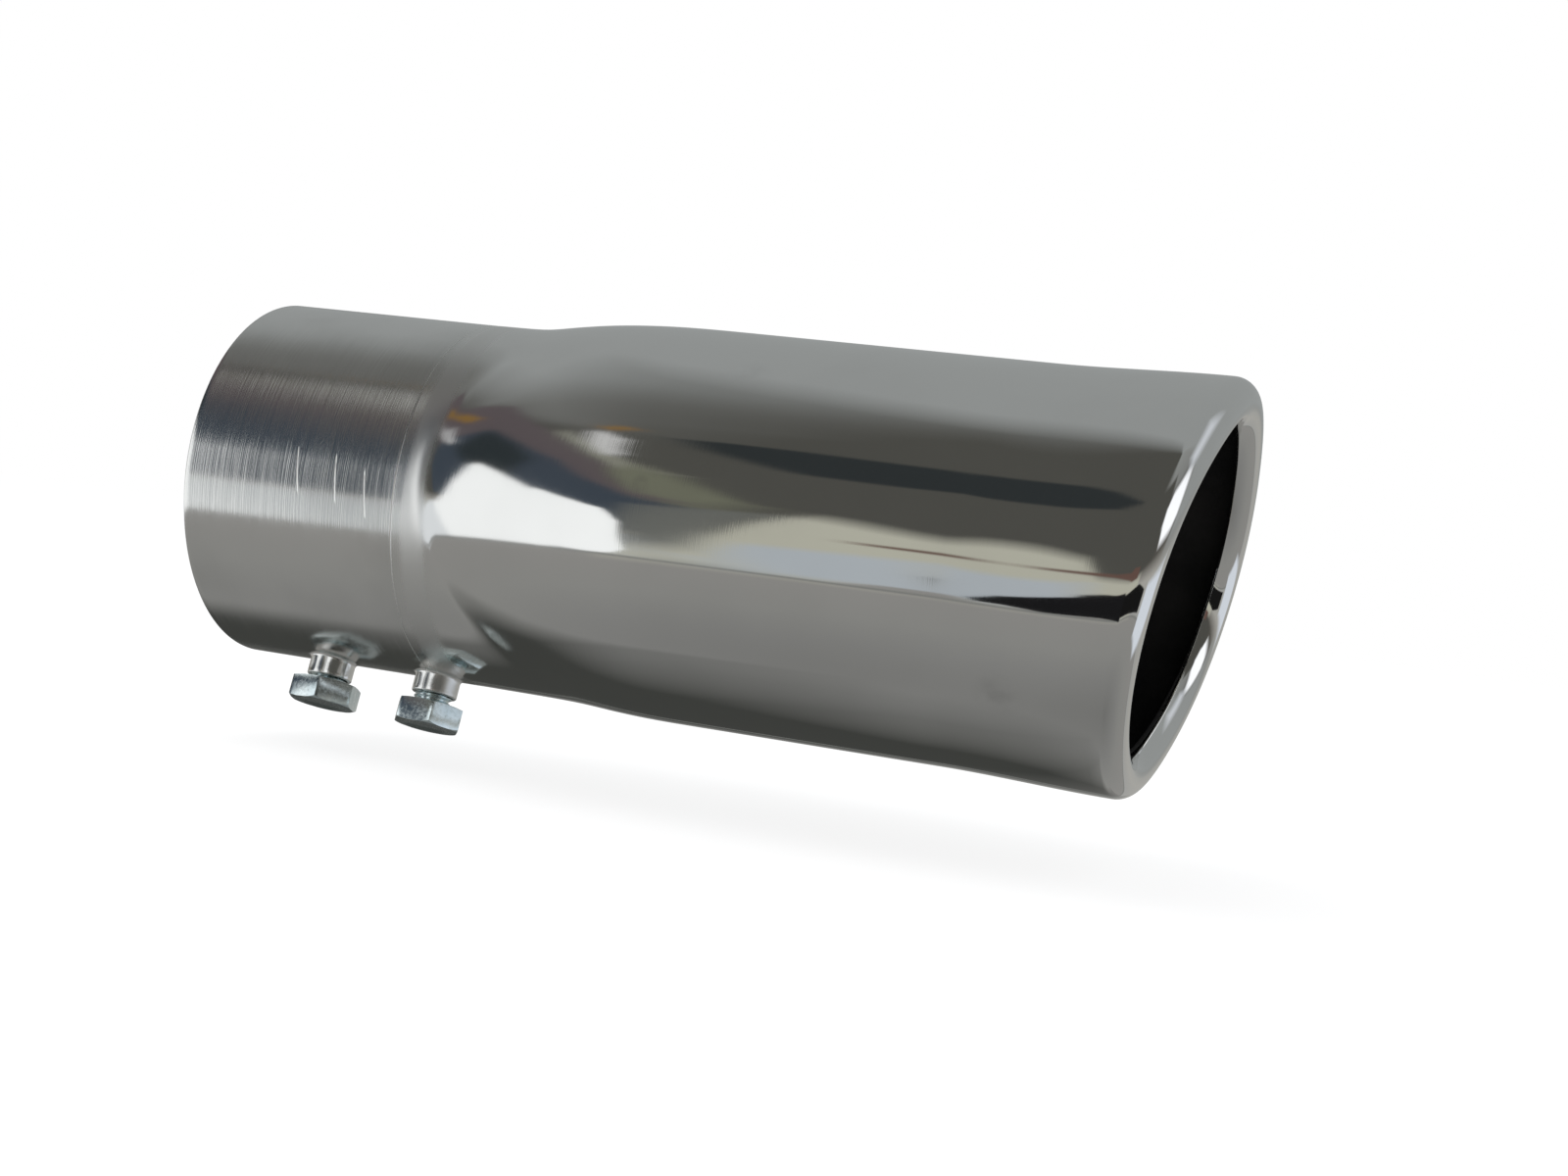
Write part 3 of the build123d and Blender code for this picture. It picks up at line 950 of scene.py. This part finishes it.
# %% The painted room
world = bpy.data.worlds.new("room")
bpy.context.scene.world = world
world.use_nodes = True
world.node_tree.nodes.clear()
wire = Wire(world.node_tree)
direction = wire.node("ShaderNodeTexCoord").output("Generated")
parts = wire.node("ShaderNodeSeparateXYZ", None, {0: direction})
east, north, up = (parts.output(axis) for axis in range(3))
az = wire.maths("ARCTAN2", east, north * -1.0) * (180 / pi)
el = wire.maths("ARCSINE", up) * (180 / pi)
tones = [(elevation / 180 + 0.5, colour) for elevation, colour in TONES]
room = wire.node("ShaderNodeValToRGB", {"stops": tones}, {0: el / 180.0 + 0.5})
for name, outline, soft, colour in CARDS:
    room = inside(az, el, outline, soft).mix(room, colour)
print("room:", len(world.node_tree.nodes), "nodes")

# %% [markdown]
# Each kind of ray sees the world its own way. Reflections see the painted room. The camera, also through
# something clear, sees plain white. All the rest is soft light on the object, a little bluish.

# %% World
SOFT_LIGHT = 0.75
path = wire.node("ShaderNodeLightPath")
soft_light = wire.node("ShaderNodeBackground", None,
                       {"Color": (0.95, 0.97, 1.0, 1.0), "Strength": SOFT_LIGHT})
plain_white = wire.node("ShaderNodeBackground", None, {"Color": (1.0, 1.0, 1.0, 1.0), "Strength": 1.0})
room_light = wire.node("ShaderNodeBackground", None, {"Color": room, "Strength": 1.0})
seen = path.output("Is Camera Ray").over(path.output("Is Transmission Ray"))
unreflected = wire.node("ShaderNodeMixShader", None, {0: seen, 1: soft_light, 2: plain_white})
all_rays = wire.node("ShaderNodeMixShader", None,
                     {0: path.output("Is Glossy Ray"), 1: unreflected, 2: room_light})
wire.node("ShaderNodeOutputWorld", None, {0: all_rays})
print("world:", len(world.node_tree.nodes), "nodes")

# %% [markdown]
# ## Lamp
# One large soft lamp above gives the floor's shadow its direction. It is left out of reflections, where
# it would show as a hard bright square.

# %% Soft lamp
LAMP_PLACE = Vector((-0.3, -0.5, 1.4))
LAMP_AIM = Vector((0.1, 0.0, 0.0))

lamp_data = bpy.data.lights.new("soft_lamp", "AREA")
lamp_data.shape = "SQUARE"
lamp_data.size = 1.2
lamp_data.energy = 9.0
lamp = bpy.data.objects.new("soft_lamp", lamp_data)
bpy.context.scene.collection.objects.link(lamp)
lamp.location = LAMP_PLACE
lamp.rotation_euler = (LAMP_AIM - LAMP_PLACE).to_track_quat("-Z", "Y").to_euler()
lamp.visible_glossy = False
print("lamp of", lamp_data.energy, "W")

# %% [markdown]
